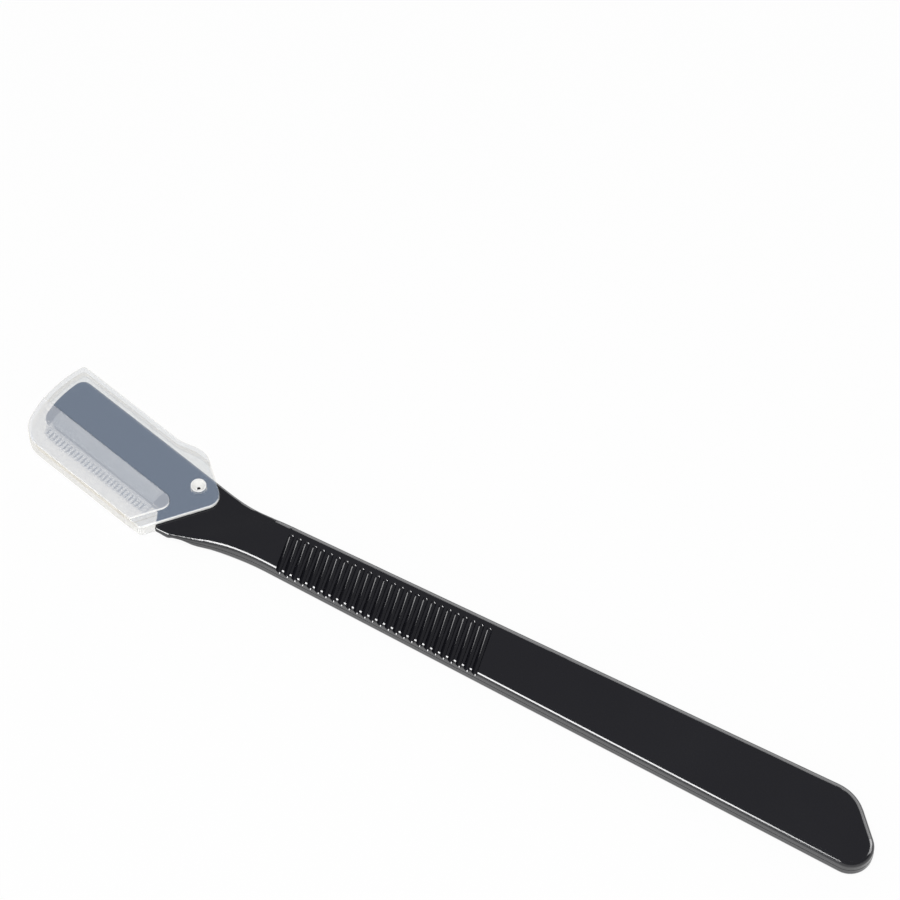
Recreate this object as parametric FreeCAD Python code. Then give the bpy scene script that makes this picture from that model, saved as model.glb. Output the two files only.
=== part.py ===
import FreeCAD, Part
import math
import os

# Eyebrow razor: a tapering handle with a turned head, a guarded blade and a slip-on cap.
# Millimetres. +X runs from the head to the tail, +Y towards the spine, +Z out of the front face.
# The origin is on the back face, on the long axis, midway along the straight handle.

# Handle
HANDLE_THICKNESS = 4.0
HANDLE_WIDTH = 10.0           # across the handle at the origin
TAPER_DEG = 1.15              # each long edge leans out this much towards the tail
TAIL_LENGTH = 48.3            # origin to where the slanted end would meet the spine edge
TAIL_SLANT_DEG = 47.0         # slanted end to the long axis
TAIL_SPINE_RADIUS = 7.0
TAIL_EDGE_RADIUS = 3.6
HANDLE_FILLET = 1.0           # rim of the thick handle
PLATE_FILLET = 0.45           # rim of the thin head
PARTING_LEDGE = 0.03          # how far the back half of the moulding stands proud of the front half

# Grip grooves across both faces, which deepen towards the lower edge on the front
GROOVE_COUNT = 26
GROOVE_PITCH = 1.41
GROOVE_RADIUS = 0.52
GROOVE_DEPTH = 0.35           # at the closed end
GROOVE_OPEN_DEPTH = 1.2       # at the open end, on the front
GROOVE_LEAN_DEG = 11.0        # open ends lean towards the tail
GROOVE_LIP = 0.12             # the floor is eased this far in from the lower edge
GROOVE_LIP_DEG = 50.0
GROOVE_MARGIN = 1.55          # spine edge to the closed end of a groove
GRIP_START = -49.17           # closed end of the groove nearest to the head

# Head frame: about the stud axis, turned towards the spine
STUD_X = -67.0
STUD_Y = 3.1
HEAD_TURN_DEG = 12.0

# Head plate, measured from the stud axis
PLATE_THICKNESS = 1.4
PLATE_SPINE = 2.7
PLATE_EDGE = 7.05
PLATE_TIP = 28.5              # to the crown of the bowed tip
TIP_CURVE = 17.6              # radius of the bow
TIP_CROWN = 1.8               # crown of the bow, from the stud's line towards the edge
TIP_SPINE_RADIUS = 1.8
TIP_EDGE_RADIUS = 1.6
NECK_SPINE_RADIUS = 42.0
NECK_EDGE_RADIUS = 40.0
NECK_FLARE_DEG = 14.0         # lower edge of the neck to the long axis
RAMP_LENGTH = 8.0             # over which the plate thickens into the handle
RAMP_GAP = 0.4                # cap mouth to the start of the ramp

# Heel beside the blade
HEEL_TIP_ALONG = -0.25
HEEL_DEPTH = 9.95
HEEL_FLAT = 2.4
HEEL_TIP_RADIUS = 0.5
HEEL_BEND_RADIUS = 1.2
HEEL_CUT_ALONG = -2.3
HEEL_CUT_RADIUS = 1.0

# Blade, folded guard comb and clamp bar, stacked in a pocket of the head's front face
POCKET_TIP = 26.5             # stud axis to the pocket's tip end
POCKET_HEEL = 3.5             # stud axis to the pocket's heel end
POCKET_SPINE = 4.2            # stud axis to the pocket's spine side
POCKET_GAP = 0.1              # play between the pocket and what lies in it
BLADE_THICKNESS = 0.2
BLADE_EXPOSED = 1.7           # cutting edge beyond the plate
BLADE_BEVEL = 0.5
BLADE_EDGE_THICKNESS = 0.04
BLADE_TIP_RADIUS = 1.8
COMB_THICKNESS = 0.15
COMB_EDGE_GAP = 0.1           # cutting edge to the inside of the fold
COMB_PITCH = 0.8
COMB_SLOT = 0.3
COMB_SLOT_LENGTH = 1.35
COMB_END_BAND = 0.8           # plain comb left at each end
POST_DIAMETER = 1.0
POST_PLAY = 0.04              # around a post, in each hole
POST_END_GAP = 0.05           # post end to the bottom of its hole in the clamp
POST_PLACES = (-21.5, -15.3, -9.1)
CLAMP_CHAMFER = 0.15
CLAMP_SKIN = 0.2              # clamp left over the ends of the posts

# Cap, measured from the stud axis
CAP_WALL = 0.6
CAP_PLAY = 0.15               # plate face to the cap's inner face
CAP_SPINE = 4.2
CAP_EDGE = 11.75
CAP_TIP = 30.15               # to the crown of the bowed tip
CAP_TIP_SPINE_RADIUS = 0.8
CAP_TIP_EDGE_RADIUS = 5.0
CAP_MOUTH = 4.9               # where the slanted mouth crosses the stud's line
MOUTH_LEAN_DEG = 29.7
MOUTH_EDGE_RADIUS = 0.8
EAR_RADIUS = 2.4
EAR_SLOPE_DEG = 32.0
HUMP_RISE = 0.93
HUMP_ALONG = -3.7             # middle of the hump's crest
HUMP_CREST = 2.0
HUMP_CREST_RADIUS = 2.8
HUMP_FOOT = 3.2               # length of the ramp up to the crest
HUMP_FOOT_RADIUS = 3.0
CAP_FILLET = 0.35
PANEL_RISE = 0.3
PANEL_SPINE = 4.45
PANEL_MOUTH_BAND = 1.95       # level band between the panel and the mouth
PANEL_RADIUS = 1.7

# Snap studs: hollow cones in the cap's two walls
STUD_DIAMETER = 2.5
STUD_END_DIAMETER = 1.5
STUD_REACH = 1.25             # cap face to the stud's inner end
STUD_MOUTH_DIAMETER = 2.05
STUD_FLOOR_DIAMETER = 0.9
STUD_RECESS = 1.0
STUD_VENT_DIAMETER = 0.6
STUD_HOLE_PLAY = 0.1          # around the stud, in the head's hole

# Derived levels and directions
MID = HANDLE_THICKNESS / 2
PLATE_FRONT = MID + PLATE_THICKNESS / 2
BLADE_FRONT = MID + BLADE_THICKNESS / 2
COMB_FRONT = BLADE_FRONT + COMB_THICKNESS
COMB_BACK = 2 * MID - COMB_FRONT
POST_HOLE_TOP = PLATE_FRONT - CLAMP_SKIN
CAP_INNER_HALF = PLATE_THICKNESS / 2 + CAP_PLAY
CAP_OUTER_HALF = CAP_INNER_HALF + CAP_WALL
PANEL_INNER_HALF = CAP_INNER_HALF + PANEL_RISE
PANEL_OUTER_HALF = CAP_OUTER_HALF + PANEL_RISE
EDGE_REACH = PLATE_EDGE + BLADE_EXPOSED
STUD = FreeCAD.Vector(STUD_X, STUD_Y, 0)
TURN = math.radians(-HEAD_TURN_DEG)
ALONG = FreeCAD.Vector(math.cos(TURN), math.sin(TURN), 0)
ACROSS = FreeCAD.Vector(-math.sin(TURN), math.cos(TURN), 0)
UP = FreeCAD.Vector(0, 0, 1)
FAR = 4 * (TAIL_LENGTH - STUD_X)   # long enough to pass right through the razor
LEVEL_TOLERANCE = 0.001            # for telling upright walls from faces, and rims from the parting plane


def head_point(along, across, z=0.0):
    """Point of the head frame: along towards the heel, across towards the spine."""
    return STUD + ALONG * along + ACROSS * across + UP * z


def direction(angle_deg):
    """Level unit vector at an angle from +X."""
    angle = math.radians(angle_deg)
    return FreeCAD.Vector(math.cos(angle), math.sin(angle), 0)


def meet(point, heading, other, other_heading):
    """Point where two level lines cross."""
    gap = other - point
    cross = heading.x * other_heading.y - heading.y * other_heading.x
    reach = (gap.x * other_heading.y - gap.y * other_heading.x) / cross
    return point + heading * reach


def rounded_outline(corners):
    """Closed wire through (point, radius) corners, with each corner rounded by its radius."""
    stretches = []
    for i, (corner, radius) in enumerate(corners):
        back = (corners[i - 1][0] - corner).normalize()
        ahead = (corners[(i + 1) % len(corners)][0] - corner).normalize()
        half_angle = back.getAngle(ahead) / 2
        setback = radius / math.tan(half_angle)
        middle = (back + ahead).normalize() * (radius / math.sin(half_angle) - radius)
        stretches.append((corner + back * setback, corner + middle, corner + ahead * setback))
    edges = []
    for i, (start, middle, end) in enumerate(stretches):
        edges.append(Part.Arc(start, middle, end).toShape())
        following = stretches[(i + 1) % len(stretches)][0]
        edges.append(Part.LineSegment(end, following).toShape())
    return Part.Wire(edges)


def prism(wire, low, high):
    """Solid over a level wire, from one height to another."""
    face = Part.Face(wire)
    face.translate(UP * low)
    return face.extrude(UP * (high - low))


def rim_edges(solid):
    """Edges where an upright wall meets a front or back face."""
    upright = {}
    for face in solid.Faces:
        u0, u1, v0, v1 = face.ParameterRange
        is_wall = abs(face.normalAt((u0 + u1) / 2, (v0 + v1) / 2).z) < LEVEL_TOLERANCE
        for edge in face.Edges:
            upright.setdefault(edge.hashCode(), []).append(is_wall)
    return [edge for edge in solid.Edges if sorted(upright[edge.hashCode()]) == [False, True]]


def spine_edge():
    """A point and the heading of the handle's spine edge."""
    return FreeCAD.Vector(0, HANDLE_WIDTH / 2, 0), direction(TAPER_DEG)


def lower_edge():
    """A point and the heading of the handle's lower edge."""
    return FreeCAD.Vector(0, -HANDLE_WIDTH / 2, 0), direction(-TAPER_DEG)


def tip_corners(reach, spine, edge, spine_radius, edge_radius):
    """Spine corner, bow and edge corner of a head's tip, concentric with the plate's bow."""
    curve = TIP_CURVE + reach - PLATE_TIP
    centre = head_point(TIP_CURVE - PLATE_TIP, -TIP_CROWN)
    ends = []
    for across in (spine - spine_radius, edge_radius - edge):
        lean = math.asin((across + TIP_CROWN) / curve)
        outward = ACROSS * math.sin(lean) - ALONG * math.cos(lean)
        ends.append((centre + outward * curve, ACROSS * math.cos(lean) + ALONG * math.sin(lean)))
    return [
        (meet(*ends[0], head_point(0, spine), ALONG), spine_radius),
        (meet(*ends[0], *ends[1]), curve),
        (meet(*ends[1], head_point(0, -edge), ALONG), edge_radius),
    ]


def handle_outline():
    """Plan of the handle, from the tail along the spine to the head, and back along the edge side."""
    tail_spine = meet(*spine_edge(), FreeCAD.Vector(TAIL_LENGTH, 0, 0), FreeCAD.Vector(0, 1, 0))
    tail_edge = meet(*lower_edge(), tail_spine, direction(-TAIL_SLANT_DEG))
    neck_spine = meet(*spine_edge(), head_point(0, PLATE_SPINE), ALONG)
    heel_tip = head_point(HEEL_TIP_ALONG, -HEEL_DEPTH)
    heel_bend = heel_tip + FreeCAD.Vector(HEEL_FLAT, 0, 0)
    neck_edge = meet(*lower_edge(), heel_bend, direction(NECK_FLARE_DEG))
    return rounded_outline([
        (tail_spine, TAIL_SPINE_RADIUS),
        (neck_spine, NECK_SPINE_RADIUS),
        *tip_corners(PLATE_TIP, PLATE_SPINE, PLATE_EDGE, TIP_SPINE_RADIUS, TIP_EDGE_RADIUS),
        (head_point(HEEL_CUT_ALONG, -PLATE_EDGE), HEEL_CUT_RADIUS),
        (heel_tip, HEEL_TIP_RADIUS),
        (heel_bend, HEEL_BEND_RADIUS),
        (neck_edge, NECK_EDGE_RADIUS),
        (tail_edge, TAIL_EDGE_RADIUS),
    ])


def mouth_heading():
    """Level unit vectors along the cap's slanted mouth and straight out of it."""
    along_mouth = direction(-HEAD_TURN_DEG + 90 - MOUTH_LEAN_DEG)
    return along_mouth, FreeCAD.Vector(along_mouth.y, -along_mouth.x, 0)


def thickness_profile():
    """Prism of the side view: thin at the plate, with a smooth ramp up to the handle on both faces."""
    along_mouth, outward = mouth_heading()
    ramp_start = head_point(CAP_MOUTH, 0) + outward * RAMP_GAP
    thin = PLATE_THICKNESS / 2
    thick = HANDLE_THICKNESS / 2
    rise = thick - thin
    radius = (RAMP_LENGTH ** 2 + rise ** 2) / (4 * rise)
    quarter = math.asin(RAMP_LENGTH / (2 * radius)) / 2
    in_x = radius * math.sin(quarter)
    in_z = radius * (1 - math.cos(quarter))

    def at(distance, height):
        return ramp_start + outward * distance + UP * (MID + height)

    edges = []
    for side in (1, -1):
        bend = at(RAMP_LENGTH / 2, side * (thin + thick) / 2)
        foot = at(0, side * thin)
        top = at(RAMP_LENGTH, side * thick)
        edges.append(Part.LineSegment(at(-FAR, side * thin), foot).toShape())
        edges.append(Part.Arc(foot, at(in_x, side * (thin + in_z)), bend).toShape())
        edges.append(Part.Arc(bend, at(RAMP_LENGTH - in_x, side * (thick - in_z)), top).toShape())
        edges.append(Part.LineSegment(top, at(FAR, side * thick)).toShape())
    edges.append(Part.LineSegment(at(FAR, thick), at(FAR, -thick)).toShape())
    edges.append(Part.LineSegment(at(-FAR, thin), at(-FAR, -thin)).toShape())
    face = Part.Face(Part.Wire(Part.__sortEdges__(edges)))
    face.translate(along_mouth * -FAR)
    return face.extrude(along_mouth * (2 * FAR))


def groove_run(centre, heading, upward, length):
    """Round-bottomed run of a groove along a heading, with straight sides that open upwards."""
    side = heading.cross(upward) * GROOVE_RADIUS
    rise = upward * HANDLE_THICKNESS
    floor = Part.Arc(centre + side, centre - upward * GROOVE_RADIUS, centre - side).toShape()
    sides = Part.makePolygon([centre - side, centre - side + rise, centre + side + rise, centre + side])
    return Part.Face(Part.Wire([floor, *sides.Edges])).extrude(heading * length)


def groove_cutters():
    """Grooves closed at the spine and open at the lower edge, where the front ones are deep and eased."""
    lift = GROOVE_RADIUS - GROOVE_DEPTH
    end_reach = math.sqrt(GROOVE_RADIUS ** 2 - lift ** 2)
    level = direction(GROOVE_LEAN_DEG - 90)
    lip = math.radians(GROOVE_LIP_DEG)
    lip_heading = level * math.cos(lip) - UP * math.sin(lip)
    lip_upward = level * math.sin(lip) + UP * math.cos(lip)
    lip_overrun = GROOVE_RADIUS * math.tan(lip / 2) - GROOVE_LIP
    cutters = []
    for i in range(GROOVE_COUNT):
        x = GRIP_START + i * GROOVE_PITCH
        spine = meet(*spine_edge(), FreeCAD.Vector(x, 0, 0), FreeCAD.Vector(0, 1, 0))
        end = spine - FreeCAD.Vector(0, GROOVE_MARGIN + end_reach, 0)
        length = (meet(*lower_edge(), end, level) - end).Length + lip_overrun

        back = end - UP * lift
        cutters.append(Part.makeSphere(GROOVE_RADIUS, back))
        cutters.append(groove_run(back, level, UP * -1, length))

        front = end + UP * (HANDLE_THICKNESS + lift)
        deep = front + level * length - UP * (GROOVE_OPEN_DEPTH - GROOVE_DEPTH)
        heading = (deep - front).normalize()
        upward = level.cross(UP).cross(heading)
        cutters.append(Part.makeSphere(GROOVE_RADIUS, front))
        cutters.append(groove_run(front, heading, upward, (deep - front).Length))
        cutters.append(groove_run(deep, lip_heading, lip_upward, HANDLE_THICKNESS))
    return cutters


def rim_radius(point):
    """Radius of the rounded rim at a point: small on the thin head, growing up the ramp to the handle."""
    thin = PLATE_THICKNESS / 2
    share = (abs(point.z - MID) - thin) / (MID - thin)
    return PLATE_FILLET + (HANDLE_FILLET - PLATE_FILLET) * share


def rounded_rim(half):
    """Half of the moulding with its outer rim rounded by a radius that grows along the ramp."""
    rim = [edge for edge in rim_edges(half) if abs(edge.CenterOfMass.z - MID) > LEVEL_TOLERANCE]
    radii = []
    for edge in Part.__sortEdges__(rim):
        middle = edge_middle(edge)
        gaps = [(edge_middle(other) - middle).Length for other in half.Edges]
        number = gaps.index(min(gaps)) + 1
        ends = (edge.firstVertex(True).Point, edge.lastVertex(True).Point)
        radii.append((number, *(rim_radius(end) for end in ends)))
    document = FreeCAD.newDocument("rim")
    base = document.addObject("Part::Feature", "half")
    base.Shape = half
    rounded = document.addObject("Part::Fillet", "rounded")
    rounded.Base = base
    rounded.Edges = radii
    document.recompute()
    shape = rounded.Shape.copy()
    FreeCAD.closeDocument(document.Name)
    return shape.Solids[0]


def edge_middle(edge):
    """Point halfway along an edge's parameter range."""
    return edge.valueAt((edge.FirstParameter + edge.LastParameter) / 2)


def head_block(start, end, spine, edge, low, high):
    """Box in the head frame: start and end along, spine and edge across, low and high in height."""
    corners = [head_point(a, c) for a, c in ((start, spine), (end, spine), (end, edge), (start, edge))]
    return prism(Part.makePolygon(corners + corners[:1]), low, high)


def post_holes(diameter, low, high):
    """Upright rods at the places of the posts."""
    return [
        Part.makeCylinder(diameter / 2, high - low, head_point(place, -post_across(), low))
        for place in POST_PLACES
    ]


def post_across():
    """Distance from the stud's line to the row of posts, midway across the clamp."""
    return (POCKET_SPINE + PLATE_EDGE) / 2


def make_handle():
    """Handle, neck, heel and head plate in one moulding, with the blade's pocket and posts."""
    outline = handle_outline()
    front_half = prism(outline, MID, HANDLE_THICKNESS)
    back_half = prism(outline.makeOffset2D(PARTING_LEDGE), 0, MID)
    profile = thickness_profile()
    halves = [rounded_rim(half.common(profile).Solids[0]) for half in (front_half, back_half)]
    body = halves[0].fuse(halves[1]).removeSplitter()
    body = body.cut(groove_cutters())
    body = body.cut(head_block(-POCKET_TIP, -POCKET_HEEL, -POCKET_SPINE, -HEEL_DEPTH - FAR, COMB_BACK, FAR))
    hole_radius = STUD_DIAMETER / 2 + STUD_HOLE_PLAY
    body = body.cut(Part.makeCylinder(hole_radius, HANDLE_THICKNESS, STUD))
    posts = post_holes(POST_DIAMETER, COMB_BACK, POST_HOLE_TOP - POST_END_GAP)
    return body.fuse(posts).Solids[0]


def head_strip(section):
    """Bar along the blade's pocket from a closed section of (across, height) points."""
    start = -POCKET_TIP + POCKET_GAP
    length = POCKET_TIP - POCKET_HEEL - 2 * POCKET_GAP
    points = [head_point(start, across, height) for across, height in section]
    return Part.Face(Part.makePolygon(points + points[:1])).extrude(ALONG * length)


def pocket_side():
    """Across place of the spine side of what lies in the pocket."""
    return -POCKET_SPINE - POCKET_GAP


def make_blade():
    """Flat steel strip with both faces bevelled to the cutting edge and a rounded tip corner."""
    half = BLADE_THICKNESS / 2
    edge_half = BLADE_EDGE_THICKNESS / 2
    spine = pocket_side()
    bevel = -EDGE_REACH + BLADE_BEVEL
    strip = head_strip([
        (spine, MID - half), (spine, MID + half), (bevel, MID + half),
        (-EDGE_REACH, MID + edge_half), (-EDGE_REACH, MID - edge_half), (bevel, MID - half),
    ])
    blade = strip.cut(post_holes(POST_DIAMETER + 2 * POST_PLAY, COMB_BACK, POST_HOLE_TOP))
    return blade.common(tip_corner(EDGE_REACH, BLADE_TIP_RADIUS)).Solids[0]


def tip_corner(reach, radius):
    """Prism that rounds the tip corner of a strip that reaches a distance across the head."""
    tip = -POCKET_TIP + POCKET_GAP
    wire = rounded_outline([
        (head_point(tip, -reach), radius),
        (head_point(0, -reach), radius),
        (head_point(0, 0), radius),
        (head_point(tip, 0), radius),
    ])
    return prism(wire, 0, HANDLE_THICKNESS)


def make_guard_comb():
    """Thin strip folded round the cutting edge, slotted across the fold into a row of teeth."""
    spine = pocket_side()
    inside = -EDGE_REACH - COMB_EDGE_GAP
    fold = inside - COMB_THICKNESS
    half = BLADE_THICKNESS / 2
    comb = head_strip([
        (spine, COMB_BACK), (spine, MID - half), (inside, MID - half), (inside, MID + half),
        (spine, MID + half), (spine, COMB_FRONT), (fold, COMB_FRONT), (fold, COMB_BACK),
    ])
    first = -POCKET_TIP + POCKET_GAP + COMB_END_BAND
    last = -POCKET_HEEL - POCKET_GAP - COMB_END_BAND
    count = int((last - first - COMB_SLOT) / COMB_PITCH) + 1
    slots = []
    for i in range(count):
        start = first + i * COMB_PITCH
        root = fold + COMB_SLOT_LENGTH
        slots.append(head_block(start, start + COMB_SLOT, root, fold - COMB_SLOT, 0, HANDLE_THICKNESS))
    comb = comb.cut(slots)
    comb = comb.cut(post_holes(POST_DIAMETER + 2 * POST_PLAY, COMB_BACK, POST_HOLE_TOP))
    return comb.common(tip_corner(-fold, BLADE_TIP_RADIUS)).Solids[0]


def make_blade_clamp():
    """Bar over the blade and comb, flush with the plate's front, with its lower front edge eased."""
    spine = pocket_side()
    bar = head_strip([
        (spine, COMB_FRONT), (spine, PLATE_FRONT), (-PLATE_EDGE + CLAMP_CHAMFER, PLATE_FRONT),
        (-PLATE_EDGE, PLATE_FRONT - CLAMP_CHAMFER), (-PLATE_EDGE, COMB_FRONT),
    ])
    bar = bar.cut(post_holes(POST_DIAMETER + 2 * POST_PLAY, COMB_BACK, POST_HOLE_TOP))
    return bar.common(tip_corner(PLATE_EDGE, TIP_EDGE_RADIUS)).Solids[0]


def cap_tip(inset):
    """Corners of the cap's tip, moved in by inset."""
    sides = (CAP_TIP - inset, CAP_SPINE - inset, CAP_EDGE - inset)
    return tip_corners(*sides, CAP_TIP_SPINE_RADIUS, CAP_TIP_EDGE_RADIUS - inset)


def hump_corners(inset):
    """End and start of the thumb hump's crest, and its foot, moved in by inset."""
    spine = CAP_SPINE - inset
    crest = spine + HUMP_RISE
    start = HUMP_ALONG - HUMP_CREST / 2
    return [
        (head_point(start + HUMP_CREST, crest), HUMP_CREST_RADIUS),
        (head_point(start, crest), HUMP_CREST_RADIUS),
        (head_point(start - HUMP_FOOT, spine), HUMP_FOOT_RADIUS),
    ]


def cap_outline():
    """Plan of the cap's outside: tip, edge side, slanted mouth, slanted ear and hump."""
    along_mouth, _ = mouth_heading()
    mouth = head_point(CAP_MOUTH, 0)
    hump = hump_corners(0)
    ear_heading = direction(-HEAD_TURN_DEG - EAR_SLOPE_DEG)
    ear = meet(hump[0][0], ear_heading, mouth, along_mouth)
    mouth_edge = meet(mouth, along_mouth, head_point(0, -CAP_EDGE), ALONG)
    return rounded_outline(cap_tip(0) + [(mouth_edge, MOUTH_EDGE_RADIUS), (ear, EAR_RADIUS)] + hump)


def cavity_outline():
    """Plan of the cap's inside, running out straight through the mouth."""
    run_out = 3 * CAP_MOUTH
    crest = CAP_SPINE + HUMP_RISE - CAP_WALL
    return rounded_outline(cap_tip(CAP_WALL) + [
        (head_point(run_out, CAP_WALL - CAP_EDGE), CAP_WALL),
        (head_point(run_out, crest), CAP_WALL),
    ] + hump_corners(CAP_WALL)[1:])


def panel_region(inset):
    """Upright prism that holds the raised panel's plan, moved in by inset, and all beyond it."""
    along_mouth, outward = mouth_heading()
    step = head_point(CAP_MOUTH, 0) - outward * (PANEL_MOUTH_BAND + inset)
    boundary = head_point(0, -PANEL_SPINE - inset)
    corner = meet(step, along_mouth, boundary, ALONG)
    beyond = head_point(0, -2 * CAP_EDGE)
    low_corner = meet(step, along_mouth, beyond, ALONG)
    reach = -2 * CAP_TIP
    wire = rounded_outline([
        (head_point(reach, -PANEL_SPINE - inset), PANEL_RADIUS),
        (head_point(reach, -2 * CAP_EDGE), PANEL_RADIUS),
        (low_corner, PANEL_RADIUS),
        (corner, PANEL_RADIUS),
    ])
    return prism(wire, -HANDLE_THICKNESS, 2 * HANDLE_THICKNESS)


def make_cap():
    """Flat sleeve closed at tip, spine and edge, with a raised panel on both faces over the blade."""
    outline = cap_outline()
    sleeve = prism(outline, MID - CAP_OUTER_HALF, MID + CAP_OUTER_HALF)
    sleeve = sleeve.makeFillet(CAP_FILLET, rim_edges(sleeve))
    panel = prism(outline, MID - PANEL_OUTER_HALF, MID + PANEL_OUTER_HALF).common(panel_region(0)).Solids[0]
    panel = panel.makeFillet(CAP_FILLET, rim_edges(panel))
    inner = cavity_outline()
    cavity = prism(inner, MID - CAP_INNER_HALF, MID + CAP_INNER_HALF)
    panel_cavity = prism(inner, MID - PANEL_INNER_HALF, MID + PANEL_INNER_HALF)
    panel_cavity = panel_cavity.common(panel_region(CAP_WALL))
    stud_seat = Part.makeCylinder(STUD_DIAMETER / 2, HANDLE_THICKNESS, STUD)
    return sleeve.fuse(panel).cut([cavity, panel_cavity, stud_seat]).removeSplitter().Solids[0]


def make_snap_stud(side):
    """Hollow cone in one wall of the cap (side 1 front, -1 back), with a vent through its floor."""
    radius = STUD_DIAMETER / 2
    end = STUD_END_DIAMETER / 2
    section = [
        (0, 0), (radius, 0), (radius, -CAP_WALL), (end, -STUD_REACH), (0, -STUD_REACH),
    ]
    recess = [
        (0, 0), (STUD_MOUTH_DIAMETER / 2, 0), (STUD_FLOOR_DIAMETER / 2, -STUD_RECESS), (0, -STUD_RECESS),
    ]
    face_z = MID + side * CAP_OUTER_HALF
    cone = turned(section, face_z, side)
    hollow = turned(recess, face_z, side)
    vent = Part.makeCylinder(STUD_VENT_DIAMETER / 2, 2 * STUD_REACH, STUD + UP * (face_z - STUD_REACH))
    return cone.cut([hollow, vent]).Solids[0]


def turned(section, face_z, side):
    """Solid of revolution about the stud axis from (radius, depth) points below a face."""
    points = [STUD + FreeCAD.Vector(radius, 0, face_z + side * depth) for radius, depth in section]
    return Part.Face(Part.makePolygon(points + points[:1])).revolve(STUD, UP, 360)


def main():
    """Write each piece to its own file."""
    os.makedirs("parts", exist_ok=True)
    pieces = {
        "handle": make_handle(),
        "blade": make_blade(),
        "guard_comb": make_guard_comb(),
        "blade_clamp": make_blade_clamp(),
        "cap": make_cap(),
        "snap_stud_front": make_snap_stud(1),
        "snap_stud_back": make_snap_stud(-1),
    }
    for name, shape in pieces.items():
        print(name, len(shape.Solids), "solid", round(shape.Volume, 2), "mm3", "valid", shape.isValid())
        shape.exportStep(f"parts/{name}.step")


main()
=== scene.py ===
"""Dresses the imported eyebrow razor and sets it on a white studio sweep.

Lengths are in metres unless a name ends in _mm. The frame is the part's own: +X runs from the
head to the tail, +Y towards the spine and +Z out of the front face.
"""
import logging
import math
from dataclasses import dataclass, field
from enum import Enum
from typing import Protocol

import bpy
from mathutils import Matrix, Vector

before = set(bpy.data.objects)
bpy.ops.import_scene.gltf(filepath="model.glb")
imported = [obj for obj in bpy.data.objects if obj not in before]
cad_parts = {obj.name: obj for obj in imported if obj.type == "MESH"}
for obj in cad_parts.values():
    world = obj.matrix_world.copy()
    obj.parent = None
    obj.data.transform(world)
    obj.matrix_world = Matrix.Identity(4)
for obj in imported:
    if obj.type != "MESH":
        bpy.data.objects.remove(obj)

LOG = logging.getLogger("eyebrow_razor")
STARTUP_OBJECTS = ("Cube", "Light", "Camera")
MM = 0.001
WHITE = "#ffffff"

# The inputs of a Math or a Vector Math node.
FIRST = 0
SECOND = 1

# The sockets of a Mix node. Their names repeat, so they are told apart by number.
SHARE = 0
VALUE_A = 2
VALUE_B = 3
VALUE_OUT = 0
COLOUR_A = 6
COLOUR_B = 7
COLOUR_OUT = 2

# The shaders that go into a Mix Shader node, beside its share.
SHADER_A = 1
SHADER_B = 2


class Solid(Enum):
    """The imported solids, by node name."""

    HANDLE = "handle"
    CLAMP = "blade_clamp"
    BLADE = "blade"
    COMB = "guard_comb"
    CAP = "cap"
    FRONT_STUD = "snap_stud_front"
    BACK_STUD = "snap_stud_back"


class Fade(Enum):
    """How a mask goes from 0 to 1."""

    STRAIGHT = "LINEAR"
    SMOOTH = "SMOOTHSTEP"


class Finish(Protocol):
    """Anything that can make one material."""

    def make(self) -> bpy.types.Material:
        """Makes the material."""


def linear(colour: str) -> tuple[float, float, float, float]:
    """Turns an sRGB hex colour into the linear values that the shaders take.

    Args:
        colour: The colour, written as "#rrggbb".

    Returns:
        Red, green, blue and an alpha of 1.
    """
    parts = []
    for start in (1, 3, 5):
        value = int(colour[start:start + 2], 16) / 255
        parts.append(value / 12.92 if value <= 0.04045 else ((value + 0.055) / 1.055) ** 2.4)
    return (*parts, 1.0)


def add_node(tree: bpy.types.NodeTree, kind: str, settings: dict[str | int, object] | None = None,
             links: dict[str | int, bpy.types.NodeSocket] | None = None) -> bpy.types.Node:
    """Adds one node to a tree, with its settings and what feeds it.

    Args:
        tree: The tree to add to.
        kind: The node's Blender type.
        settings: Values by property name, or by the name or number of an input.
        links: Output sockets by the name or number of the input that they feed.

    Returns:
        The new node.
    """
    node = tree.nodes.new(kind)
    for key, value in (settings or {}).items():
        if isinstance(key, str) and hasattr(node, key):
            setattr(node, key, value)
        else:
            node.inputs[key].default_value = value
    for key, source in (links or {}).items():
        tree.links.new(source, node.inputs[key])
    return node


def add_level_mask(tree: bpy.types.NodeTree, facing: bpy.types.Node, limits: tuple[float, float],
                   fade: Fade = Fade.STRAIGHT) -> bpy.types.NodeSocket:
    """Adds a mask by how level a face is.

    Args:
        tree: The material's tree.
        facing: Its geometry node.
        limits: The upright share of the face's normal where the mask is 0, and where it is 1.
        fade: How the mask goes from one to the other.

    Returns:
        The mask.
    """
    axes = add_node(tree, "ShaderNodeSeparateXYZ", {}, {"Vector": facing.outputs["Normal"]})
    upright = add_node(tree, "ShaderNodeMath", {"operation": "ABSOLUTE"}, {FIRST: axes.outputs["Z"]})
    mask = add_node(tree, "ShaderNodeMapRange",
                    {"interpolation_type": fade.value, "From Min": limits[0], "From Max": limits[1]},
                    {"Value": upright.outputs["Value"]})
    return mask.outputs["Result"]


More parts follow.
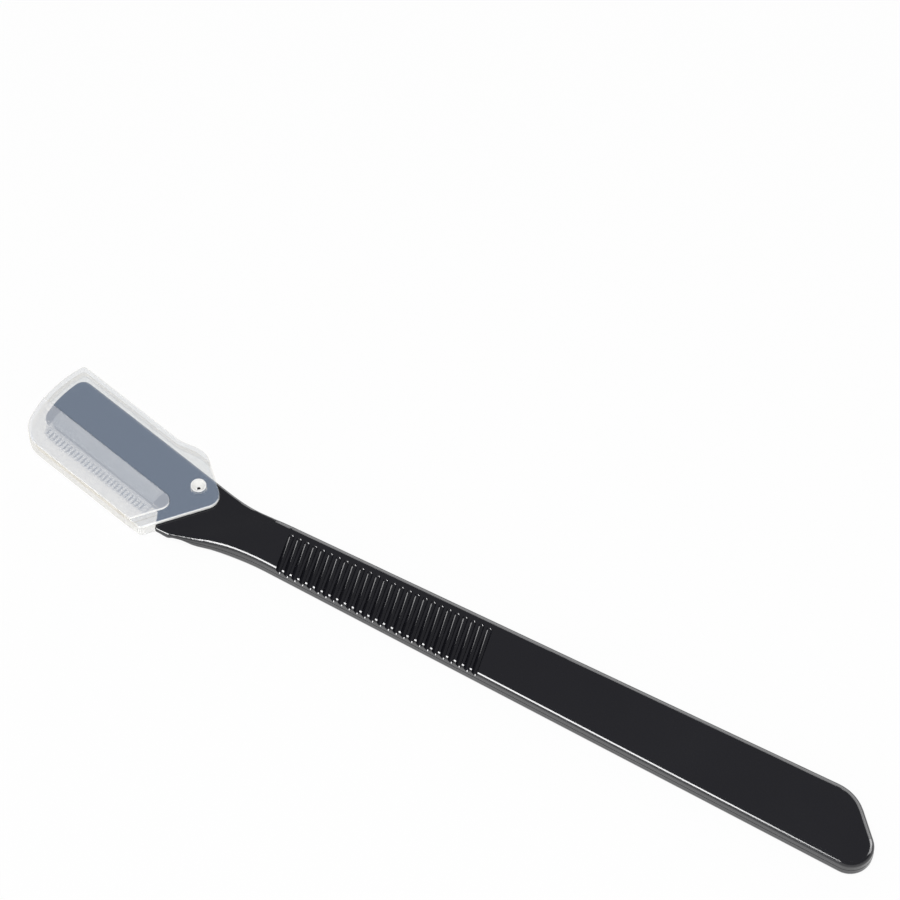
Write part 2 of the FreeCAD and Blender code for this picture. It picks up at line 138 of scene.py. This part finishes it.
def add_height_mask(tree: bpy.types.NodeTree, place: bpy.types.Node, mid_mm: float,
                    limits_mm: tuple[float, float]) -> bpy.types.NodeSocket:
    """Adds a mask by the distance from the middle plane of the razor.

    Args:
        tree: The material's tree.
        place: Its texture coordinates.
        mid_mm: The height of the middle plane.
        limits_mm: The distance where the mask is 0, and where it is 1.

    Returns:
        The mask.
    """
    spot = add_node(tree, "ShaderNodeSeparateXYZ", {}, {"Vector": place.outputs["Object"]})
    height = add_node(tree, "ShaderNodeMath", {"operation": "SUBTRACT", SECOND: mid_mm * MM},
                      {FIRST: spot.outputs["Z"]})
    distance = add_node(tree, "ShaderNodeMath", {"operation": "ABSOLUTE"}, {FIRST: height.outputs["Value"]})
    mask = add_node(tree, "ShaderNodeMapRange",
                    {"From Min": limits_mm[0] * MM, "From Max": limits_mm[1] * MM},
                    {"Value": distance.outputs["Value"]})
    return mask.outputs["Result"]


def bare_material(name: str) -> tuple[bpy.types.Material, bpy.types.NodeTree]:
    """Starts a material with no nodes in it.

    Args:
        name: The material's name.

    Returns:
        The material and its empty node tree.
    """
    material = bpy.data.materials.new(name)
    material.use_nodes = True
    material.node_tree.nodes.clear()
    return material, material.node_tree


@dataclass(frozen=True)
class PolishedBlackAbs:
    """Black ABS from a polished mould."""

    # A deep gloss that wavers slightly, because the wall shrinks as it cools, with faint draw lines
    # along the side walls where the halves of the mould slid off.
    name: str = "abs_black_polished"
    colour: str = "#18181d"
    bloom: str = "#1d1d22"
    ior: float = 1.54
    smoothest: float = 0.07
    dullest: float = 0.13
    wave_mm: float = 8.0
    wave_height_mm: float = 0.003
    smear_mm: float = 14.0
    smear_spread: tuple[float, float] = (0.35, 0.65)
    line_length_mm: float = 9.0
    line_width_mm: float = 0.35
    line_height_mm: float = 0.012
    side_wall: tuple[float, float] = (0.2, 0.05)

    def make(self) -> bpy.types.Material:
        """Makes the material."""
        material, tree = bare_material(self.name)
        place = add_node(tree, "ShaderNodeTexCoord")
        facing = add_node(tree, "ShaderNodeNewGeometry")
        wave = add_node(tree, "ShaderNodeTexNoise", {"Scale": 1 / (self.wave_mm * MM), "Detail": 1.0},
                        {"Vector": place.outputs["Object"]})
        smear = add_node(tree, "ShaderNodeTexNoise", {"Scale": 1 / (self.smear_mm * MM), "Detail": 6.0},
                         {"Vector": place.outputs["Object"]})
        cells = (self.line_length_mm * MM, self.line_width_mm * MM, self.line_width_mm * MM)
        drawn = add_node(tree, "ShaderNodeMapping", {"vector_type": "TEXTURE", "Scale": cells},
                         {"Vector": place.outputs["Object"]})
        line = add_node(tree, "ShaderNodeTexNoise", {"Scale": 1.0, "Detail": 2.0},
                        {"Vector": drawn.outputs["Vector"]})
        side = add_level_mask(tree, facing, self.side_wall)
        swell = add_node(tree, "ShaderNodeBump", {"Distance": self.wave_height_mm * MM},
                         {"Height": wave.outputs["Fac"]})
        skin = add_node(tree, "ShaderNodeBump", {"Distance": self.line_height_mm * MM},
                        {"Height": line.outputs["Fac"], "Strength": side, "Normal": swell.outputs["Normal"]})
        gloss = add_node(tree, "ShaderNodeMapRange",
                         {"From Min": self.smear_spread[0], "From Max": self.smear_spread[1],
                          "To Min": self.smoothest, "To Max": self.dullest},
                         {"Value": smear.outputs["Fac"]})
        tint = add_node(tree, "ShaderNodeMix",
                        {"data_type": "RGBA", COLOUR_A: linear(self.colour), COLOUR_B: linear(self.bloom)},
                        {SHARE: smear.outputs["Fac"]})
        shader = add_node(tree, "ShaderNodeBsdfPrincipled", {"IOR": self.ior},
                          {"Base Color": tint.outputs[COLOUR_OUT], "Roughness": gloss.outputs["Result"],
                           "Normal": skin.outputs["Normal"]})
        add_node(tree, "ShaderNodeOutputMaterial", {}, {"Surface": shader.outputs["BSDF"]})
        return material


@dataclass(frozen=True)
class MilkyPolypropylene:
    """Natural polypropylene, injection moulded thin enough to see through."""

    # It scatters blue light and lets the rest through, so it is a blue haze over the dark head and nearly
    # clear over white paper. The panel comes from a satin part of the mould, so it is hazier than the rest.
    # The edges at the mouth and at the panel's step are white, because the wall is seen end on there. The
    # grain of the panel is drawn coarser than it is, so that it shows.
    name: str = "polypropylene_milky"
    level_tint: str = "#cee2ff"
    panel_tint: str = "#e8effc"
    wall_tint: str = "#f6f5f0"
    rim_tint: str = "#fefefc"
    clear_tint: str = "#fffdf9"
    level_haze: float = 0.25
    panel_haze: float = 0.44
    wall_haze: float = 0.22
    rim_haze: float = 0.94
    inner_haze: float = 0.04
    ior: float = 1.49
    roughness: float = 0.28
    mid_mm: float = 2.0
    outer_mm: tuple[float, float] = (1.2, 1.4)
    panel_mm: tuple[float, float] = (1.52, 1.7)
    level_face: tuple[float, float] = (0.3, 0.95)
    mouth_way: tuple[float, float, float] = (0.747, -0.665, 0.0)
    mouth_mm: float = -47.85
    rim_band_mm: float = 2.8
    rim_turn: tuple[float, float] = (0.3, 0.7)
    grain_mm: float = 0.35
    grain_height_mm: float = 0.004

    def make(self) -> bpy.types.Material:
        """Makes the material."""
        material, tree = bare_material(self.name)
        place = add_node(tree, "ShaderNodeTexCoord")
        facing = add_node(tree, "ShaderNodeNewGeometry")
        outer = add_height_mask(tree, place, self.mid_mm, self.outer_mm)
        panel = add_height_mask(tree, place, self.mid_mm, self.panel_mm)
        flat = add_level_mask(tree, facing, self.level_face, Fade.SMOOTH)
        rim = self.add_rim_mask(tree, place, facing)
        haze = self.add_haze(tree, outer, panel, flat, rim)
        tint = self.add_tint(tree, panel, flat, rim)
        grain = add_node(tree, "ShaderNodeTexNoise", {"Scale": 1 / (self.grain_mm * MM), "Detail": 3.0},
                         {"Vector": place.outputs["Object"]})
        skin = add_node(tree, "ShaderNodeBump", {"Distance": self.grain_height_mm * MM},
                        {"Height": grain.outputs["Fac"], "Strength": panel})
        milk = add_node(tree, "ShaderNodeBsdfPrincipled", {"IOR": self.ior, "Roughness": self.roughness},
                        {"Base Color": tint, "Normal": skin.outputs["Normal"]})
        clear = add_node(tree, "ShaderNodeBsdfTransparent", {"Color": linear(self.clear_tint)})
        both = add_node(tree, "ShaderNodeMixShader", {},
                        {SHARE: haze, SHADER_A: clear.outputs["BSDF"], SHADER_B: milk.outputs["BSDF"]})
        add_node(tree, "ShaderNodeOutputMaterial", {}, {"Surface": both.outputs["Shader"]})
        return material

    def add_haze(self, tree: bpy.types.NodeTree, outer: bpy.types.NodeSocket, panel: bpy.types.NodeSocket,
                 flat: bpy.types.NodeSocket, rim: bpy.types.NodeSocket) -> bpy.types.NodeSocket:
        """Adds the share of light that the plastic stops.

        Args:
            tree: The material's tree.
            outer: The mask of the outside.
            panel: The mask of the raised panel.
            flat: The mask of the level faces.
            rim: The mask of the edges at the mouth.

        Returns:
            The share.
        """
        face = add_node(tree, "ShaderNodeMapRange", {"To Min": self.level_haze, "To Max": self.panel_haze},
                        {"Value": panel})
        skin = add_node(tree, "ShaderNodeMix", {VALUE_A: self.inner_haze},
                        {SHARE: outer, VALUE_B: face.outputs["Result"]})
        body = add_node(tree, "ShaderNodeMix", {VALUE_A: self.wall_haze},
                        {SHARE: flat, VALUE_B: skin.outputs[VALUE_OUT]})
        haze = add_node(tree, "ShaderNodeMix", {VALUE_B: self.rim_haze},
                        {SHARE: rim, VALUE_A: body.outputs[VALUE_OUT]})
        return haze.outputs[VALUE_OUT]

    def add_tint(self, tree: bpy.types.NodeTree, panel: bpy.types.NodeSocket, flat: bpy.types.NodeSocket,
                 rim: bpy.types.NodeSocket) -> bpy.types.NodeSocket:
        """Adds the colour that the plastic scatters.

        Args:
            tree: The material's tree.
            panel: The mask of the raised panel.
            flat: The mask of the level faces.
            rim: The mask of the edges at the mouth.

        Returns:
            The colour.
        """
        ends = {COLOUR_A: linear(self.level_tint), COLOUR_B: linear(self.panel_tint)}
        face = add_node(tree, "ShaderNodeMix", {"data_type": "RGBA", **ends}, {SHARE: panel})
        body = add_node(tree, "ShaderNodeMix", {"data_type": "RGBA", COLOUR_A: linear(self.wall_tint)},
                        {SHARE: flat, COLOUR_B: face.outputs[COLOUR_OUT]})
        tint = add_node(tree, "ShaderNodeMix", {"data_type": "RGBA", COLOUR_B: linear(self.rim_tint)},
                        {SHARE: rim, COLOUR_A: body.outputs[COLOUR_OUT]})
        return tint.outputs[COLOUR_OUT]

    def add_rim_mask(self, tree: bpy.types.NodeTree, place: bpy.types.Node,
                     facing: bpy.types.Node) -> bpy.types.NodeSocket:
        """Adds a mask of the edges that face out of the mouth: its own, and the panel's step beside it.

        Args:
            tree: The material's tree.
            place: Its texture coordinates.
            facing: Its geometry node.

        Returns:
            The mask, which is 0 on the inner side of every wall.
        """
        turned = add_node(tree, "ShaderNodeVectorMath", {"operation": "DOT_PRODUCT", SECOND: self.mouth_way},
                          {FIRST: facing.outputs["Normal"]})
        outward = add_node(tree, "ShaderNodeMapRange",
                           {"interpolation_type": Fade.SMOOTH.value,
                            "From Min": self.rim_turn[0], "From Max": self.rim_turn[1]},
                           {"Value": turned.outputs["Value"]})
        along = add_node(tree, "ShaderNodeVectorMath", {"operation": "DOT_PRODUCT", SECOND: self.mouth_way},
                         {FIRST: place.outputs["Object"]})
        near = add_node(tree, "ShaderNodeMath",
                        {"operation": "GREATER_THAN", SECOND: (self.mouth_mm - self.rim_band_mm) * MM},
                        {FIRST: along.outputs["Value"]})
        edge = add_node(tree, "ShaderNodeMath", {"operation": "MULTIPLY"},
                        {FIRST: outward.outputs["Result"], SECOND: near.outputs["Value"]})
        rim = add_node(tree, "ShaderNodeMath", {"operation": "SUBTRACT", "use_clamp": True},
                       {FIRST: edge.outputs["Value"], SECOND: facing.outputs["Backfacing"]})
        return rim.outputs["Value"]


@dataclass(frozen=True)
class SolidPolypropylene:
    """The same polypropylene where it is thick enough to look white."""

    # A pure white with the faint flow marks of a small moulding. The inner ends, which sit in the hole of
    # the head, are painted near black as the shade inside that hole, seen through the vent.
    name: str = "polypropylene_stud"
    colour: str = "#f8f8f6"
    shade: str = "#ececea"
    # Painted shade for the inner ends, inside the head's hole.
    hole_shade: str = "#19191c"
    ior: float = 1.49
    roughness: float = 0.3
    flow_mm: float = 0.8
    mid_mm: float = 2.0
    hole_shade_mm: tuple[float, float] = (0.3, 0.42)

    def make(self) -> bpy.types.Material:
        """Makes the material."""
        material, tree = bare_material(self.name)
        place = add_node(tree, "ShaderNodeTexCoord")
        flow = add_node(tree, "ShaderNodeTexNoise", {"Scale": 1 / (self.flow_mm * MM), "Detail": 3.0},
                        {"Vector": place.outputs["Object"]})
        tint = add_node(tree, "ShaderNodeMix",
                        {"data_type": "RGBA", COLOUR_A: linear(self.shade), COLOUR_B: linear(self.colour)},
                        {SHARE: flow.outputs["Fac"]})
        # Near the middle plane the studs sit in the head's hole; there the colour is painted near black as
        # shade.
        out_of_hole = add_height_mask(tree, place, self.mid_mm, self.hole_shade_mm)
        skin = add_node(tree, "ShaderNodeMix", {"data_type": "RGBA", COLOUR_A: linear(self.hole_shade)},
                        {SHARE: out_of_hole, COLOUR_B: tint.outputs[COLOUR_OUT]})
        shader = add_node(tree, "ShaderNodeBsdfPrincipled",
                          {"IOR": self.ior, "Roughness": self.roughness},
                          {"Base Color": skin.outputs[COLOUR_OUT]})
        add_node(tree, "ShaderNodeOutputMaterial", {}, {"Surface": shader.outputs["BSDF"]})
        return material


@dataclass(frozen=True)
class GroundStainless:
    """Stainless strip, ground or etched, with its lines along the head."""

    # Grey metal whose fine lines stretch every reflection along the edge, with duller cut edges. On the
    # clamp the upright edges are painted near black instead, as painted shade of the seam beside them. The
    # lines are drawn coarser than they are, so that they show.
    name: str = "stainless_ground"
    colour: str = "#a3a6ab"
    shade: str = "#94979c"
    cut_edge_and_seam_shade: str = "#77797e"
    metallic: float = 0.7
    smoothest: float = 0.3
    dullest: float = 0.45
    turn_deg: float = -12.0
    line_length_mm: float = 6.0
    line_width_mm: float = 0.12
    line_height_mm: float = 0.002
    line_spread: tuple[float, float] = (0.3, 0.7)
    level_face: tuple[float, float] = (0.75, 0.9)

    def make(self) -> bpy.types.Material:
        """Makes the material."""
        material, tree = bare_material(self.name)
        place = add_node(tree, "ShaderNodeTexCoord")
        facing = add_node(tree, "ShaderNodeNewGeometry")
        cells = (self.line_length_mm * MM, self.line_width_mm * MM, self.line_width_mm * MM)
        along = add_node(tree, "ShaderNodeMapping",
                         {"vector_type": "TEXTURE", "Rotation": (0.0, 0.0, math.radians(self.turn_deg)),
                          "Scale": cells},
                         {"Vector": place.outputs["Object"]})
        line = add_node(tree, "ShaderNodeTexNoise", {"Scale": 1.0, "Detail": 3.0},
                        {"Vector": along.outputs["Vector"]})
        tint = add_node(tree, "ShaderNodeMix",
                        {"data_type": "RGBA", COLOUR_A: linear(self.shade), COLOUR_B: linear(self.colour)},
                        {SHARE: line.outputs["Fac"]})
        face = add_level_mask(tree, facing, self.level_face)
        # Upright faces take the edge colour: a duller metal on the blade and comb, painted seam shade on the
        # clamp.
        metal = add_node(tree, "ShaderNodeMix", {"data_type": "RGBA", COLOUR_A: linear(self.cut_edge_and_seam_shade)},
                         {SHARE: face, COLOUR_B: tint.outputs[COLOUR_OUT]})
        gloss = add_node(tree, "ShaderNodeMapRange",
                         {"From Min": self.line_spread[0], "From Max": self.line_spread[1],
                          "To Min": self.smoothest, "To Max": self.dullest},
                         {"Value": line.outputs["Fac"]})
        skin = add_node(tree, "ShaderNodeBump", {"Distance": self.line_height_mm * MM},
                        {"Height": line.outputs["Fac"]})
        shader = add_node(tree, "ShaderNodeBsdfPrincipled", {"Metallic": self.metallic},
                          {"Base Color": metal.outputs[COLOUR_OUT], "Roughness": gloss.outputs["Result"],
                           "Normal": skin.outputs["Normal"]})
        add_node(tree, "ShaderNodeOutputMaterial", {}, {"Surface": shader.outputs["BSDF"]})
        return material


@dataclass(frozen=True)
class WhitePaper:
    """Matt white background paper."""

    # Plain white with hardly any shadow on it, as a paper lit on its own from all round.
    name: str = "paper_white"
    colour: str = "#f4f4f4"
    glow: float = 0.93

    def make(self) -> bpy.types.Material:
        """Makes the material."""
        material, tree = bare_material(self.name)
        rays = add_node(tree, "ShaderNodeLightPath")
        seen = add_node(tree, "ShaderNodeMath", {"operation": "MAXIMUM"},
                        {FIRST: rays.outputs["Is Camera Ray"], SECOND: rays.outputs["Is Glossy Ray"]})
        through = add_node(tree, "ShaderNodeMath", {"operation": "MAXIMUM"},
                           {FIRST: seen.outputs["Value"], SECOND: rays.outputs["Is Transmission Ray"]})
        share = add_node(tree, "ShaderNodeMath", {"operation": "MULTIPLY", SECOND: self.glow},
                         {FIRST: through.outputs["Value"]})
        matt = add_node(tree, "ShaderNodeBsdfDiffuse", {"Color": linear(self.colour)})
        white = add_node(tree, "ShaderNodeEmission", {"Color": linear(WHITE), "Strength": 1.0})
        both = add_node(tree, "ShaderNodeMixShader", {},
                        {SHARE: share.outputs["Value"], SHADER_A: matt.outputs["BSDF"],
                         SHADER_B: white.outputs["Emission"]})
        add_node(tree, "ShaderNodeOutputMaterial", {}, {"Surface": both.outputs["Shader"]})
        return material


def clear_startup() -> None:
    """Removes what Blender's own startup file may have put in the scene."""
    for name in STARTUP_OBJECTS:
        if name in bpy.data.objects:
            bpy.data.objects.remove(bpy.data.objects[name])


def dress(solid: Solid, finish: Finish) -> None:
    """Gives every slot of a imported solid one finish.

    Args:
        solid: The solid to dress.
        finish: What it is made of.
    """
    material = finish.make()
    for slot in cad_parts[solid.value].material_slots:
        slot.material = material
    LOG.info("%s dressed in %s", solid.value, material.name)


@dataclass
class Razor:
    """The handle, and the blade, comb and clamp in its head."""

    handle: Finish = PolishedBlackAbs()
    # The clamp's near black edge colour is painted shade of the seam between it and the blade.
    clamp: Finish = GroundStainless(name="stainless_satin", colour="#a9aeb4", shade="#999ea5",
                                    cut_edge_and_seam_shade="#17181a", metallic=0.75, smoothest=0.42, dullest=0.55)
    blade: Finish = GroundStainless()
    comb: Finish = GroundStainless(name="stainless_etched", colour="#eeeff1", shade="#dfe1e4",
                                   cut_edge_and_seam_shade="#c9cbcf", metallic=0.45, smoothest=0.4, dullest=0.55,
                                   line_width_mm=0.2)

    def dress(self) -> None:
        """Dresses the four solids."""
        dress(Solid.HANDLE, self.handle)
        dress(Solid.CLAMP, self.clamp)
        dress(Solid.BLADE, self.blade)
        dress(Solid.COMB, self.comb)


@dataclass
class Cap:
    """The slip-on cap and its two studs."""

    shell: Finish = MilkyPolypropylene()
    stud: Finish = SolidPolypropylene()

    def dress(self) -> None:
        """Dresses the three solids."""
        dress(Solid.CAP, self.shell)
        dress(Solid.FRONT_STUD, self.stud)
        dress(Solid.BACK_STUD, self.stud)


class LampRole(Enum):
    """What a lamp is there for."""

    FILL = "lights the surfaces and stays out of their gloss"
    GLINT = "shows only in the gloss"


@dataclass
class Lamp:
    """One soft lamp, a flat panel that looks at the razor."""

    name: str
    place: tuple[float, float, float]
    size: tuple[float, float]
    power: float
    role: LampRole = LampRole.FILL
    aim: tuple[float, float, float] = (-0.02, 0.0, 0.0)

    def build(self) -> None:
        """Adds the lamp."""
        light = bpy.data.lights.new(self.name, "AREA")
        light.shape = "RECTANGLE"
        light.size, light.size_y = self.size
        light.energy = self.power
        lamp = bpy.data.objects.new(self.name, light)
        bpy.context.scene.collection.objects.link(lamp)
        lamp.location = self.place
        lamp.rotation_euler = (Vector(self.aim) - Vector(self.place)).to_track_quat("-Z", "Y").to_euler()
        lamp.visible_camera = False
        lamp.visible_glossy = self.role is LampRole.GLINT
        lamp.visible_diffuse = self.role is LampRole.FILL
        lamp.visible_transmission = self.role is LampRole.FILL
        LOG.info("lamp %s at %s", self.name, self.place)


@dataclass
class Studio:
    """The floor, the lamps, the walls of the room and the camera."""

    floor_radius: float = 1.6
    floor_sides: int = 96
    floor_drop: float = 0.0002
    # How far each step of the floor's rim spreads, and how far it rises.
    rim_steps: tuple[tuple[float, float], ...] = ((1.12, 0.02), (1.1, 0.07), (1.08, 0.15))
    paper: WhitePaper = WhitePaper()
    eye: tuple[float, float, float] = (0.1109, -0.2341, 0.5236)
    target: tuple[float, float, float] = (-0.035, 0.028, 0.004)
    lens_mm: float = 150.0
    nearest: float = 0.01
    wall_light: float = 0.9
    ceiling_light: float = 0.28
    wall_top: tuple[float, float] = (0.35, 0.75)
    gloss_wall_top: tuple[float, float] = (0.04, 0.16)
    lamps: list[Lamp] = field(default_factory=lambda: [
        Lamp("overhead_softbox", (0.12, -0.32, 0.9), (0.5, 0.4), 6.5),
        Lamp("near_window", (-0.55, -0.86, 0.27), (1.0, 0.5), 33.0, LampRole.GLINT),
        Lamp("far_backdrop", (0.13, 1.05, 0.48), (1.5, 0.95), 15.7, LampRole.GLINT),
        Lamp("side_window", (0.69, 0.66, 0.55), (0.7, 0.7), 9.2, LampRole.GLINT),
    ])

    def build(self) -> None:
        """Builds the studio."""
        self.build_floor()
        self.build_room()
        for lamp in self.lamps:
            lamp.build()
        self.build_camera()

    def build_floor(self) -> None:
        """Makes the paper: a flat disc whose rim turns up gently."""
        bpy.ops.object.select_all(action="DESELECT")
        bpy.ops.mesh.primitive_circle_add(vertices=self.floor_sides, radius=self.floor_radius,
                                          fill_type="NGON", location=(0.0, 0.0, -self.floor_drop))
        floor = bpy.context.object
        floor.name = "paper_floor"
        bpy.ops.object.mode_set(mode="EDIT")
        bpy.ops.mesh.select_mode(type="EDGE")
        bpy.ops.mesh.region_to_loop()
        for spread, rise in self.rim_steps:
            bpy.ops.mesh.extrude_edges_move(TRANSFORM_OT_translate={"value": (0.0, 0.0, rise)})
            bpy.ops.transform.resize(value=(spread, spread, 1.0))
        bpy.ops.object.mode_set(mode="OBJECT")
        floor.data.materials.append(self.paper.make())
        LOG.info("paper floor laid")

    def build_room(self) -> None:
        """Sets the room: pale walls that darken towards the ceiling, and lower down in the gloss."""
        world = bpy.data.worlds.new("studio_room")
        bpy.context.scene.world = world
        world.use_nodes = True
        tree = world.node_tree
        tree.nodes.clear()
        place = add_node(tree, "ShaderNodeTexCoord")
        axes = add_node(tree, "ShaderNodeSeparateXYZ", {}, {"Vector": place.outputs["Generated"]})
        levels = []
        for low, high in (self.wall_top, self.gloss_wall_top):
            level = add_node(tree, "ShaderNodeMapRange",
                             {"interpolation_type": Fade.SMOOTH.value, "From Min": low, "From Max": high,
                              "To Min": self.wall_light, "To Max": self.ceiling_light},
                             {"Value": axes.outputs["Z"]})
            levels.append(level.outputs["Result"])
        rays = add_node(tree, "ShaderNodeLightPath")
        light = add_node(tree, "ShaderNodeMix", {},
                         {SHARE: rays.outputs["Is Glossy Ray"], VALUE_A: levels[0], VALUE_B: levels[1]})
        room = add_node(tree, "ShaderNodeBackground", {}, {"Strength": light.outputs[VALUE_OUT]})
        add_node(tree, "ShaderNodeOutputWorld", {}, {"Surface": room.outputs["Background"]})

    def build_camera(self) -> None:
        """Sets the camera where the photograph was taken from."""
        camera = bpy.data.objects.new("camera", bpy.data.cameras.new("camera"))
        bpy.context.scene.collection.objects.link(camera)
        camera.location = self.eye
        look = Vector(self.target) - Vector(self.eye)
        camera.rotation_euler = look.to_track_quat("-Z", "Y").to_euler()
        camera.data.lens = self.lens_mm
        camera.data.clip_start = self.nearest
        bpy.context.scene.camera = camera
        bpy.context.scene.view_settings.view_transform = "Standard"


def main() -> None:
    """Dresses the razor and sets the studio."""
    logging.basicConfig(level=logging.INFO, format="%(name)s: %(message)s")
    clear_startup()
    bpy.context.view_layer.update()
    Razor().dress()
    Cap().dress()
    Studio().build()


if __name__ == "__main__":
    main()
